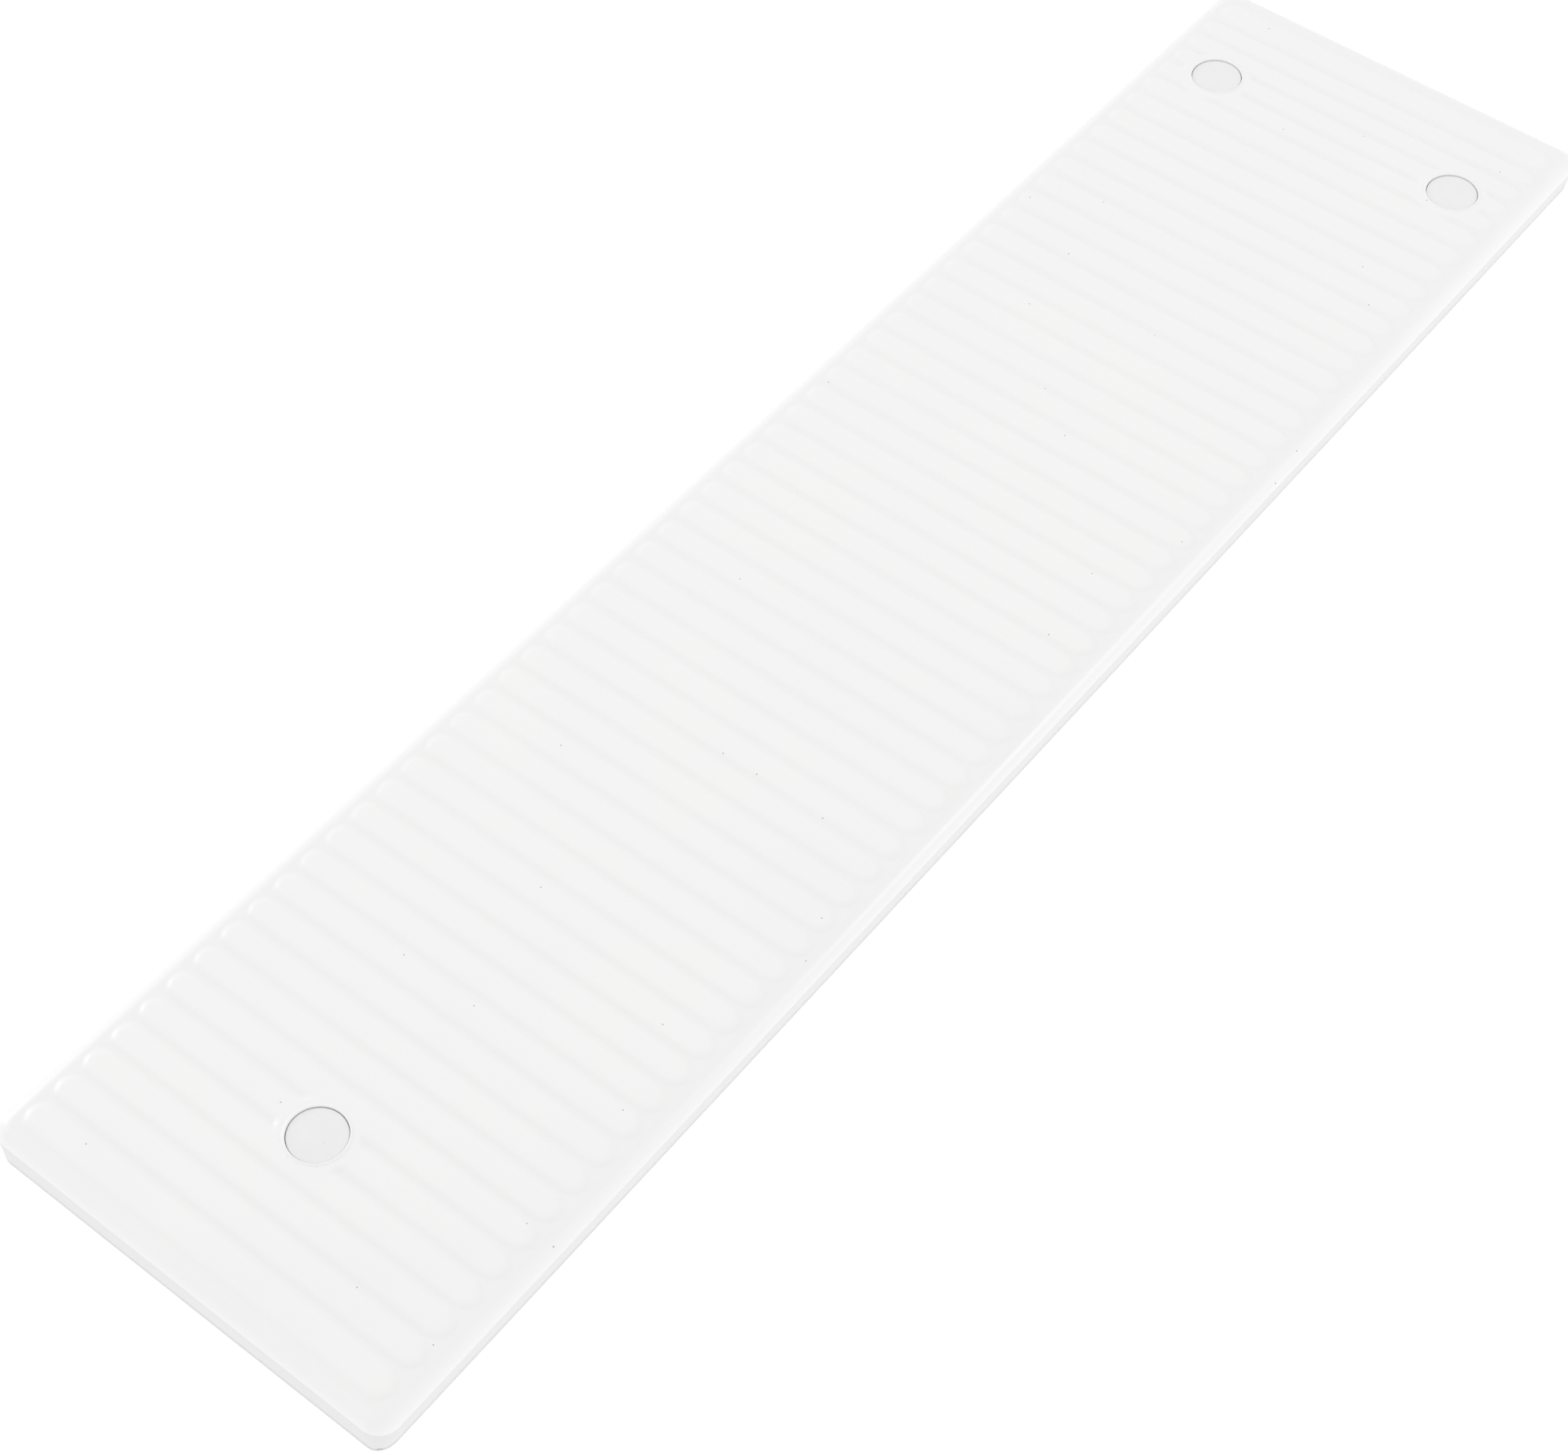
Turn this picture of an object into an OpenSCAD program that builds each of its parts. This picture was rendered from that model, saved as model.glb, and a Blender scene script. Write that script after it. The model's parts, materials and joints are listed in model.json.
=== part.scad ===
// Ribbed diving board: a moulded tread shell over a wood and fibreglass core,
// held down by three recessed bolts under lift-off covers.
// Millimetres. X runs from the one-bolt end to the two-bolt end, Y to the left, Z up.
// The origin is the middle of the flat underside.

/* [Board] */
// Length of the board
board_l = 1828; // [1524:1:2440]
// Width of the board across the shoulder creases
board_w = 440; // [360:1:530]
// Height of the shoulder crease above the underside
crease_z = 32; // [27:0.5:45]
// How far each side wall leans in from the crease to the underside
side_draft = 5.3; // [0:0.1:8]
// Plan radius of the four corners
corner_r = 20; // [12:1:30]
// Width of the curved shoulder, seen from above
shoulder_w = 16; // [12:0.5:20]
// How far the shoulder falls from the tread margin to the crease
shoulder_drop = 11; // [10.5:0.5:13]

/* [Tread ribs] */
// Spacing of the cross ribs
rib_pitch = 32.1; // [26:0.1:40]
// Spacing of the closer ribs at the two-bolt end
tail_pitch = 28.5; // [24:0.1:32]
// Number of closer ribs at the two-bolt end
tail_ribs = 4; // [2:1:6]
// Height of a rib above the margin
rib_h = 2; // [1:0.1:3]
// Flat groove left between two ribs
groove_w = 1.2; // [0.8:0.1:3]
// Least width of the first and the last rib
end_rib_min = 30; // [24:1:36]
// Margin between the rib ends and the side creases
side_margin = 16.5; // [14.2:0.1:24]
// Margin between the first rib and the crease of the one-bolt end
nose_margin = 16.5; // [14.2:0.1:24]
// Margin between the last rib and the crease of the two-bolt end
tail_margin = 22; // [16:0.5:30]

/* [Skins] */
// Wall of the tread shell
shell_t = 3; // [2:0.1:3.5]
// Thickness of the base pan
base_t = 3; // [2.4:0.1:5]
// Thickness of each fibreglass laminate
laminate_t = 2; // [1:0.1:3]
// Thickness of the sealant bead between the skirt and the base pan
seal_t = 0.8; // [0.5:0.1:1.5]
// How far the sealant bead is set back from the outside
seal_setback = 0.6; // [0.3:0.1:1]

/* [Core] */
// Gap between the core and the shoulder crease, seen from above
core_inset = 12; // [11:0.5:18]
// Length of each cross block at the ends of the core
block_l = 200; // [180:1:260]
// Glue line between wooden pieces
glue_gap = 0.2; // [0.1:0.05:0.5]

/* [Bolts] */
// Distance from the one-bolt end to its bolt
nose_bolt_inset = 161.5; // [130:0.5:175]
// Distance from the two-bolt end to its bolts
tail_bolt_inset = 137.5; // [110:0.5:160]
// Distance between the two bolts of the pair
bolt_spacing = 289; // [240:1:320]
// Outside diameter of a bolt's thread
bolt_d = 12.7; // [10:0.1:14]
// Length of a bolt under its head
bolt_l = 88.9; // [80:0.1:127]
// Height of a bolt head
head_h = 8; // [6:0.1:8.5]
// Width of a bolt head across its flats
head_af = 19; // [17:0.1:22]
// Plain shank between the pad and the bolt's thread
shank_below_pad = 6; // [2:0.5:12]
// How much less the plain shank's radius is than the rolled thread's
shank_relief = 0.6; // [0.4:0.1:0.8]
// Chamfer on the end of a bolt
bolt_chamfer = 1.5; // [0.5:0.1:2]
// Radial clearance round a bolt
bolt_clear = 0.4; // [0.2:0.05:0.8]
// Outside diameter of the sleeve that keeps the bolt from crushing the core
sleeve_od = 20; // [18:0.5:24]
// Outside diameter of the steel washer
washer_od = 38; // [30:0.5:42]
// Thickness of the steel washer
washer_t = 2.5; // [1.5:0.1:3]
// Outside diameter of the sealing washer
seal_washer_od = 40; // [32:0.5:44]
// Thickness of the sealing washer
seal_washer_t = 3; // [2:0.1:3.5]
// Diameter of the rubber pad under the board at each bolt
pad_od = 64; // [50:1:80]
// Thickness of the rubber pad
pad_t = 4; // [3:0.5:6]

/* [Bolt covers] */
// Diameter of a cover
cover_d = 52; // [50:0.5:56]
// Thickness of a cover disc
cover_t = 3; // [2.4:0.1:3.2]
// How far the cover sits below the top of its boss
cover_sink = 0.8; // [0.4:0.1:1.2]
// Radial gap round a cover
cover_gap = 0.6; // [0.4:0.1:1]
// Gap between a cover and its ledge
cover_seat_gap = 0.2; // [0.1:0.05:0.4]
// Bevel on the top edge of a cover
cover_bevel = 0.7; // [0.4:0.1:1]
// Width of the ledge that a cover sits on
ledge_w = 2.9; // [2:0.1:4]
// Depth from the top of the boss to the floor of the bolt cup
cup_depth = 23.2; // [20:0.1:26]
// Height of the snap fingers under a cover
finger_h = 6; // [4:0.5:7]
// Wall of a snap finger
finger_t = 1.6; // [1.2:0.1:2]
// Radial clearance between the snap fingers and the cup
finger_clear = 0.25; // [0.2:0.05:0.4]
// Slot between two snap fingers
finger_slot = 8; // [6:0.5:12]
// Width of the level boss outside a cover
boss_margin = 8; // [7:0.5:12]
// How far the boss stands above the rib tops
boss_rise = 0.2; // [0.1:0.05:0.5]
// Radius of the rounded lip round a cover
lip_r = 1.5; // [1:0.1:2]
// How far the lip stands above the boss
lip_rise = 0.8; // [0.5:0.1:0.9]
// How far the recess cuts into the lip
lip_cut = 0.4; // [0.2:0.1:0.8]

/* [Hidden] */
$fn = 96;
// Overlap that keeps a cut or a joint clean
eps = 1;
// The plan stands this far outside the walls, so that it only rounds the corners
plan_slack = 0.05;

// Heights, from the underside up
skirt_z = base_t + seal_t;
core_z0 = base_t + laminate_t;
margin_z = crease_z + shoulder_drop;
shell_under_z = margin_z - shell_t;
core_z1 = shell_under_z - laminate_t;
boss_z = margin_z + rib_h + boss_rise;
cup_floor_z = boss_z - cup_depth;
cover_top_z = boss_z - cover_sink;
cover_under_z = cover_top_z - cover_t;
ledge_z = cover_under_z - cover_seat_gap;
washer_z = cup_floor_z + seal_washer_t;
head_z = washer_z + washer_t;
bolt_end_z = head_z - bolt_l;

// The shoulder is one arc, level at the margin
shoulder_r = (pow(shoulder_w, 2) + pow(shoulder_drop, 2)) / (2 * shoulder_drop);
draft_slope = side_draft / crease_z;

// Half width of a leaning wall at a height, and of the base pan where the side walls meet it
function wall_at(half, slope, z) = half - slope * (crease_z - z);
base_half_w = wall_at(board_w / 2, draft_slope, base_t);

// Plan of the core
stringer_count = 7;
core_l = board_l - 2 * core_inset;
core_w = board_w - 2 * core_inset;
stringer_w = (core_w - (stringer_count - 1) * glue_gap) / stringer_count;
stringer_l = core_l - 2 * (block_l + glue_gap);
block_x = core_l / 2 - block_l / 2;

// The bolts
nose_at = [-board_l / 2 + nose_bolt_inset, 0];
left_tail_at = [board_l / 2 - tail_bolt_inset, bolt_spacing / 2];
right_tail_at = [board_l / 2 - tail_bolt_inset, -bolt_spacing / 2];
bolts = [nose_at, left_tail_at, right_tail_at];
hole_r = bolt_d / 2 + bolt_clear;

// The bolt cup and the recess of its cover
cover_r = cover_d / 2;
recess_r = cover_r + cover_gap;
cup_r = recess_r - ledge_w;
boss_r = cover_r + boss_margin;
lip_at_r = recess_r + lip_r - lip_cut;
finger_r = cup_r - finger_clear;

// One side of a rib's section, as shares of its half width and its height
rib_profile = [[1, 0], [0.84, 0.45], [0.62, 0.85], [0.36, 1]];

// The ribs: one wide rib at each end, then full-pitch ribs, then the closer ones
rib_l = board_w - 2 * side_margin;
rib_zone_l = board_l - nose_margin - tail_margin;
main_ribs = floor((rib_zone_l - tail_ribs * tail_pitch - 2 * end_rib_min) / rib_pitch);
end_rib_w = (rib_zone_l - tail_ribs * tail_pitch - main_ribs * rib_pitch) / 2;
groove_count = main_ribs + tail_ribs + 1;
function groove_x(i) = -board_l / 2 + nose_margin + end_rib_w
    + min(i, main_ribs) * rib_pitch + max(i - main_ribs, 0) * tail_pitch;
function rib_x0(i) = i == 0 ? -board_l / 2 + nose_margin : groove_x(i - 1);
function rib_x1(i) = i == groove_count ? board_l / 2 - tail_margin : groove_x(i);

// ---- Shared shapes ----

module rounded_plan(l, w, r) {
    square([l - 2 * r, w], center = true);
    square([l, w - 2 * r], center = true);
    for (x = [-1, 1], y = [-1, 1])
        translate([x * (l / 2 - r), y * (w / 2 - r)])
            circle(r = r);
}

// Section across one pair of walls and shoulders, set in by inset, from z0 up
module wall_section(half, slope, inset, z0) {
    arc_r = shoulder_r - inset;
    arc_z = margin_z - shoulder_r;
    flat_half = half - shoulder_w;
    low = wall_at(half, slope, z0) - inset;
    high = wall_at(half, slope, margin_z) - inset;
    intersection() {
        polygon([[-low, z0], [low, z0], [high, margin_z], [-high, margin_z]]);
        union() {
            translate([-flat_half - arc_r, z0 - eps])
                square([2 * (flat_half + arc_r), arc_z - z0 + eps]);
            translate([-flat_half, z0])
                square([2 * flat_half, margin_z - inset - z0]);
            for (side = [-1, 1])
                translate([side * flat_half, arc_z])
                    circle(r = arc_r);
        }
    }
}

// The board's outside, set in by inset, from z0 up and without its ribs
module board_body(inset, z0) {
    plan_inset = inset - plan_slack;
    intersection() {
        translate([0, 0, z0])
            linear_extrude(margin_z - z0)
                rounded_plan(
                    board_l - 2 * plan_inset, board_w - 2 * plan_inset, corner_r - plan_inset
                );
        rotate([90, 0, 90])
            translate([0, 0, -board_l])
                linear_extrude(2 * board_l)
                    wall_section(board_w / 2, draft_slope, inset, z0);
        rotate([90, 0, 0])
            translate([0, 0, -board_w])
                linear_extrude(2 * board_w)
                    wall_section(board_l / 2, 0, inset, z0);
    }
}

// Half of a rib's section, out from its middle; its root sinks into the shell
module half_rib_section(half_w) {
    polygon(concat(
        [[0, -eps], [half_w, -eps]],
        [for (p = rib_profile) [p[0] * half_w, p[1] * rib_h]],
        [[0, rib_h]]
    ));
}

// A rib with rounded ends, from x0 to x1
module rib(x0, x1) {
    half_w = (x1 - x0 - groove_w) / 2;
    straight_l = rib_l - 2 * half_w;
    translate([(x0 + x1) / 2, 0, margin_z]) {
        rotate([90, 0, 0])
            translate([0, 0, -straight_l / 2])
                linear_extrude(straight_l) {
                    half_rib_section(half_w);
                    mirror([1, 0])
                        half_rib_section(half_w);
                }
        for (turn = [0, 180])
            rotate([0, 0, turn])
                translate([0, straight_l / 2, 0])
                    rotate_extrude(angle = 180)
                        half_rib_section(half_w);
    }
}

// A flat ring, from z0 up
module ring(at, outer_r, inner_r, z0, h) {
    translate([at[0], at[1], z0])
        difference() {
            cylinder(r = outer_r, h = h);
            translate([0, 0, -eps])
                cylinder(r = inner_r, h = h + 2 * eps);
        }
}

module drill(at, r, z0, z1) {
    translate([at[0], at[1], z0])
        cylinder(r = r, h = z1 - z0);
}

// ---- Skins ----

module cover_boss(at) {
    drill(at, boss_r, shell_under_z, boss_z);
    drill(at, recess_r + shell_t, ledge_z - shell_t, boss_z);
    drill(at, cup_r + shell_t, cup_floor_z - shell_t, boss_z);
    translate([at[0], at[1], boss_z + lip_rise - lip_r])
        rotate_extrude()
            translate([lip_at_r, 0])
                circle(r = lip_r);
}

module cover_recess(at) {
    drill(at, recess_r, ledge_z, boss_z + 2 * lip_r);
    drill(at, cup_r, cup_floor_z, boss_z);
    drill(at, hole_r, cup_floor_z - shell_t - eps, boss_z);
}

module tread_shell() {
    color("white")
        difference() {
            union() {
                difference() {
                    board_body(0, skirt_z);
                    board_body(shell_t, skirt_z - eps);
                }
                for (i = [0:groove_count])
                    rib(rib_x0(i), rib_x1(i));
                for (at = bolts)
                    cover_boss(at);
            }
            for (at = bolts)
                cover_recess(at);
        }
}

module base_section(half) {
    chamfer = base_t / 2;
    polygon([
        [-half + chamfer, 0], [half - chamfer, 0], [half, chamfer],
        [half, base_t], [-half, base_t], [-half, chamfer]
    ]);
}

module base_pan() {
    color("white")
        difference() {
            intersection() {
                linear_extrude(base_t)
                    rounded_plan(board_l, 2 * base_half_w, corner_r);
                rotate([90, 0, 90])
                    translate([0, 0, -board_l])
                        linear_extrude(2 * board_l)
                            base_section(base_half_w);
                rotate([90, 0, 0])
                    translate([0, 0, -board_w])
                        linear_extrude(2 * board_w)
                            base_section(board_l / 2);
            }
            for (at = bolts)
                drill(at, hole_r, -eps, base_t + eps);
        }
}

module edge_seal() {
    outer_l = board_l - 2 * seal_setback;
    outer_w = 2 * (base_half_w - seal_setback);
    color("dimgray")
        translate([0, 0, base_t])
            linear_extrude(seal_t)
                difference() {
                    rounded_plan(outer_l, outer_w, corner_r - seal_setback);
                    rounded_plan(
                        board_l - 2 * shell_t, 2 * (base_half_w - shell_t), corner_r - shell_t
                    );
                }
}

// ---- Core ----

module laminate(z0, plan_inset, bolt_hole_r) {
    color("palegoldenrod")
        difference() {
            translate([0, 0, z0])
                linear_extrude(laminate_t)
                    square([core_l - 2 * plan_inset, core_w - 2 * plan_inset], center = true);
            for (at = bolts)
                drill(at, bolt_hole_r, z0 - eps, z0 + laminate_t + eps);
        }
}

module upper_laminate() {
    laminate(core_z1, shoulder_w - core_inset, recess_r + shell_t + glue_gap);
}

module lower_laminate() {
    laminate(base_t, 0, sleeve_od / 2 + glue_gap);
}

// Stringer number i, counted from the left edge
module stringer(i) {
    color("burlywood")
        translate([
            -stringer_l / 2,
            core_w / 2 - stringer_w - i * (stringer_w + glue_gap),
            core_z0
        ])
            cube([stringer_l, stringer_w, core_z1 - core_z0]);
}

// A cross block at one end of the core, bored for the bolts that go through it
module bolt_block(side, through) {
    color("peru")
        difference() {
            translate([side * block_x - block_l / 2, -core_w / 2, core_z0])
                cube([block_l, core_w, core_z1 - core_z0]);
            for (at = through) {
                drill(at, sleeve_od / 2 + glue_gap, core_z0 - eps, core_z1);
                drill(at, cup_r + shell_t + glue_gap, cup_floor_z - shell_t, core_z1 + eps);
            }
        }
}

// ---- Bolts ----

module sleeve(at) {
    color("silver")
        ring(at, sleeve_od / 2, hole_r, base_t, cup_floor_z - shell_t - base_t);
}

module seal_washer(at) {
    color("black")
        ring(at, seal_washer_od / 2, hole_r, cup_floor_z, seal_washer_t);
}

module washer(at) {
    color("silver")
        ring(at, washer_od / 2, hole_r, washer_z, washer_t);
}

module bolt(at) {
    thread_r = bolt_d / 2;
    thread_z = -pad_t - shank_below_pad;
    color("silver")
        translate([at[0], at[1], 0]) {
            translate([0, 0, head_z])
                cylinder(d = head_af / cos(30), h = head_h, $fn = 6);
            translate([0, 0, thread_z - eps])
                cylinder(r = thread_r - shank_relief, h = head_z - thread_z + 2 * eps);
            translate([0, 0, bolt_end_z + bolt_chamfer])
                cylinder(r = thread_r, h = thread_z - bolt_end_z - bolt_chamfer);
            translate([0, 0, bolt_end_z])
                cylinder(r1 = thread_r - bolt_chamfer, r2 = thread_r, h = bolt_chamfer);
        }
}

module pad(at) {
    color("black")
        ring(at, pad_od / 2, hole_r, -pad_t, pad_t);
}

// ---- Covers ----

module cover(at) {
    color("whitesmoke")
        translate([at[0], at[1], cover_under_z]) {
            rotate_extrude()
                polygon([
                    [0, 0], [cover_r, 0], [cover_r, cover_t - cover_bevel],
                    [cover_r - cover_bevel, cover_t], [0, cover_t]
                ]);
            difference() {
                translate([0, 0, -finger_h])
                    cylinder(r = finger_r, h = finger_h + cover_t / 2);
                translate([0, 0, -finger_h - eps])
                    cylinder(r = finger_r - finger_t, h = finger_h + eps);
                for (turn = [0, 90])
                    rotate([0, 0, turn])
                        translate([-cover_r, -finger_slot / 2, -finger_h - eps])
                            cube([cover_d, finger_slot, finger_h + eps]);
            }
        }
}

tread_shell();
base_pan();
edge_seal();
upper_laminate();
lower_laminate();
stringer(0);  // left_edge_stringer
stringer(1);  // left_outer_stringer
stringer(2);  // left_inner_stringer
stringer(3);  // centre_stringer
stringer(4);  // right_inner_stringer
stringer(5);  // right_outer_stringer
stringer(6);  // right_edge_stringer
bolt_block(-1, [nose_at]);  // nose_bolt_block
bolt_block(1, [left_tail_at, right_tail_at]);  // tail_bolt_block
sleeve(nose_at);  // nose_sleeve
sleeve(left_tail_at);  // left_tail_sleeve
sleeve(right_tail_at);  // right_tail_sleeve
seal_washer(nose_at);  // nose_seal_washer
seal_washer(left_tail_at);  // left_tail_seal_washer
seal_washer(right_tail_at);  // right_tail_seal_washer
washer(nose_at);  // nose_washer
washer(left_tail_at);  // left_tail_washer
washer(right_tail_at);  // right_tail_washer
bolt(nose_at);  // nose_bolt
bolt(left_tail_at);  // left_tail_bolt
bolt(right_tail_at);  // right_tail_bolt
pad(nose_at);  // nose_pad
pad(left_tail_at);  // left_tail_pad
pad(right_tail_at);  // right_tail_pad
cover(nose_at);  // nose_cover
cover(left_tail_at);  // left_tail_cover
cover(right_tail_at);  // right_tail_cover
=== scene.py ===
# %% [markdown]
# # A ribbed diving board
# The board is a white acrylic tread shell over a wood and fibreglass core. Three bolts hold it to
# its stand, and a round cover hides each bolt. The imported CAD model gives every place and size, and
# this script makes the surfaces that show: the shell, the base pan, the covers and the fixings.
# It starts by loading that model and keeping its box.

# %% Load the frame
import json
import math

import bmesh
import bpy
from mathutils import Matrix, Vector


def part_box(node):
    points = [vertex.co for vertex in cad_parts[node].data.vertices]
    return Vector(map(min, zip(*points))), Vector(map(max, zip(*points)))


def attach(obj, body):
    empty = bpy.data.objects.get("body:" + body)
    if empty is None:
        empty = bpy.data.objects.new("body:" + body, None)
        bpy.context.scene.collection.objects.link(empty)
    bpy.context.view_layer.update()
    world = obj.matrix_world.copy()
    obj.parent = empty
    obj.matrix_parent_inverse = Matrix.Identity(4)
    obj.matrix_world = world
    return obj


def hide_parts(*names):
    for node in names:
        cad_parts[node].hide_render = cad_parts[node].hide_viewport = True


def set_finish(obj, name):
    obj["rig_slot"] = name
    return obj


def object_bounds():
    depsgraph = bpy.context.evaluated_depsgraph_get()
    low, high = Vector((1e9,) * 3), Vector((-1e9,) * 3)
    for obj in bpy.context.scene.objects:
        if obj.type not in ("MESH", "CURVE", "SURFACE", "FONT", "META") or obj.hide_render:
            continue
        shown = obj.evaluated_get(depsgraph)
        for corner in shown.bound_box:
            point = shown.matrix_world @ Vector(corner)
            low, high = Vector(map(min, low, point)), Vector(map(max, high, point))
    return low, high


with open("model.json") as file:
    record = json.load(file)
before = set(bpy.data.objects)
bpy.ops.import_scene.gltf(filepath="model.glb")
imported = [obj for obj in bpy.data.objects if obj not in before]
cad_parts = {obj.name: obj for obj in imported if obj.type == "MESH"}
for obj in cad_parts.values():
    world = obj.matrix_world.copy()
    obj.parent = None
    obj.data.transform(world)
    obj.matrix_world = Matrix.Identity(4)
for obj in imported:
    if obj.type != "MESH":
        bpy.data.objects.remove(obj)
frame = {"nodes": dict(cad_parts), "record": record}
cad_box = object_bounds()
MM = 0.001
MERGE = 0.002 * MM
SAME_PLACE = 0.01 * MM
print("CAD box in metres:", [tuple(round(c, 4) for c in corner) for corner in cad_box])

# %% [markdown]
# ## The camera
# A long lens stands over the one-bolt end and looks along the board, so that its two long sides
# nearly keep their distance. A camera looks along its own -Z with +Y up, so it is tilted up from
# straight down, turned about Z, and rolled by the last tenth of a degree about its own axis.

# %% Camera
CAMERA_AT = Vector((-1.5014, -1.0793, 2.2276))
CAMERA_TURN = 38.515
CAMERA_DIP = 52.530
CAMERA_ROLL = -0.076
LENS = 70.85

camera_data = bpy.data.cameras.new("camera")
camera_data.lens = LENS
camera_data.sensor_width = 36
camera_data.clip_end = 60
camera = bpy.data.objects.new("camera", camera_data)
camera.matrix_world = (
    Matrix.Translation(CAMERA_AT)
    @ Matrix.Rotation(math.radians(CAMERA_TURN - 90), 4, "Z")
    @ Matrix.Rotation(math.radians(90 - CAMERA_DIP), 4, "X")
    @ Matrix.Rotation(math.radians(CAMERA_ROLL), 4, "Z")
)
bpy.context.scene.collection.objects.link(camera)
bpy.context.scene.camera = camera
bpy.context.scene.view_settings.view_transform = "Standard"
print("camera at", tuple(CAMERA_AT), "with a", LENS, "mm lens")

# %% [markdown]
# ## Sizes that the pieces share
# Sizes that the CAD model can be asked for come from its nodes' boxes. The few that a box can't
# give, such as the spacing of the ribs, are named here in metres.

# %% Sizes from the frame
shell_low, shell_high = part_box("tread_shell")
pan_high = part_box("base_pan")[1]
seal_low, seal_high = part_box("edge_seal")
HALF_L, HALF_W = shell_high.x, shell_high.y
SKIRT_Z = shell_low.z

CREASE_Z = 32 * MM
SHOULDER_W = 16 * MM
SHOULDER_DROP = 11 * MM
CORNER_R = 20 * MM
SIDE_DRAFT = 5.3 * MM
SHELL_T = 3 * MM
MARGIN_Z = CREASE_Z + SHOULDER_DROP
SHOULDER_R = (SHOULDER_W**2 + SHOULDER_DROP**2) / (2 * SHOULDER_DROP)
SHOULDER_CENTRE_Z = MARGIN_Z - SHOULDER_R
TREAD_HALF_L = HALF_L - SHOULDER_W
TREAD_HALF_W = HALF_W - SHOULDER_W
TREAD_CORNER_R = CORNER_R - SHOULDER_W

BOLTED = ("nose", "left_tail", "right_tail")
centre_of = {}
for name in BOLTED:
    low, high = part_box(name + "_cover")
    centre_of[name] = Vector(((low.x + high.x) / 2, (low.y + high.y) / 2))
print("half length and width:", round(HALF_L, 4), round(HALF_W, 4), "bolts at", centre_of)

# %% [markdown]
# ## Helpers for the mesh work
# Most of this board is a closed loop of edges that is pulled out, down and in again, like a
# potter's wall. `pull` extrudes such a loop once and says where each new point goes. A finished
# bmesh becomes an object with `finished`, which turns its faces outwards, smooths it except at
# real edges, and lets it ride on its CAD body.

# %% Mesh helpers
def pull(bm, loop, place):
    """Extrudes a loop of edges once, puts each new point at place(old point), returns the new loop."""
    grown = bmesh.ops.extrude_edge_only(bm, edges=loop)["geom"]
    new_points = {item for item in grown if isinstance(item, bmesh.types.BMVert)}
    for point in new_points:
        point.co = place(point.co)
    return [
        item for item in grown
        if isinstance(item, bmesh.types.BMEdge) and all(point in new_points for point in item.verts)
    ]


def open_edges(bm):
    return [edge for edge in bm.edges if len(edge.link_faces) != 2]


def finished(name, bm, body, slot, replaces, crease_angle=32):
    bmesh.ops.remove_doubles(bm, verts=bm.verts, dist=MERGE)
    bmesh.ops.recalc_face_normals(bm, faces=bm.faces)
    unclosed = len(open_edges(bm))
    mesh = bpy.data.meshes.new(name)
    bm.to_mesh(mesh)
    bm.free()
    mesh.shade_smooth()
    mesh.set_sharp_from_angle(angle=math.radians(crease_angle))
    piece = bpy.data.objects.new(name, mesh)
    bpy.context.scene.collection.objects.link(piece)
    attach(piece, body)
    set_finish(piece, slot)
    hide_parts(*replaces)
    triangles = sum(len(face.vertices) - 2 for face in mesh.polygons)
    print(f"{name}: {triangles} triangles, {unclosed} unclosed edges")
    return piece


# %% [markdown]
# ## The board's outline
# Tread, walls, base pan and sealant bead all follow one rounded rectangle, only nearer or further
# out. A point on it is found from the nearest point of a smaller rectangle, the one that the
# corner arcs are centred on, and the direction out from there. The side walls lean in towards the
# bottom and the end walls don't, so the lean is scaled by how far the direction points sideways.

# %% Outline helpers
DRAFT = SIDE_DRAFT / CREASE_Z


def outward(point):
    """The arc centre that a point on the outline belongs to, and the direction out from it."""
    inner_l = TREAD_HALF_L - TREAD_CORNER_R
    inner_w = TREAD_HALF_W - TREAD_CORNER_R
    centre = Vector((
        max(-inner_l, min(inner_l, point.x)),
        max(-inner_w, min(inner_w, point.y)),
    ))
    return centre, (point.xy - centre).normalized()


def at_offset(point, offset, z):
    """The point of the outline grown by offset from the tread's own edge, at height z."""
    centre, direction = outward(point)
    place = centre + direction * (TREAD_CORNER_R + offset)
    return Vector((place.x, place.y, z))


def on_wall(point, inset, z):
    """The point of the leaning wall at height z, set in by inset."""
    direction = outward(point)[1]
    lean = DRAFT * (CREASE_Z - z) * direction.y**2
    return at_offset(point, SHOULDER_W - lean - inset, z)


def on_shoulder(point, angle, radius):
    """The point of the shoulder's arc at an angle from level."""
    return at_offset(point, radius * math.sin(angle), SHOULDER_CENTRE_Z + radius * math.cos(angle))


# %% [markdown]
# ## The ribs
# Fifty-six ribs cross the tread, so that wet feet can't slip. Each is a low pillow: flat on top,
# falling in an S-curve to its foot, and round at both ends. A wider rib finishes each end of the
# board, and the last few at the two-bolt end sit closer together. Measured across a rib, a share
# of 0 is its middle and 1 is the edge of its groove.

# %% Rib layout
RIB_H = 2 * MM
RIB_PITCH = 32.1 * MM
CLOSE_PITCH = 28.5 * MM
CLOSE_RIBS = 4
GROOVE_W = 1.2 * MM
END_RIB_MIN = 30 * MM
NOSE_MARGIN = 16.5 * MM
TAIL_MARGIN = 22 * MM
RIB_TIP_Y = HALF_W - 16.5 * MM

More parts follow.
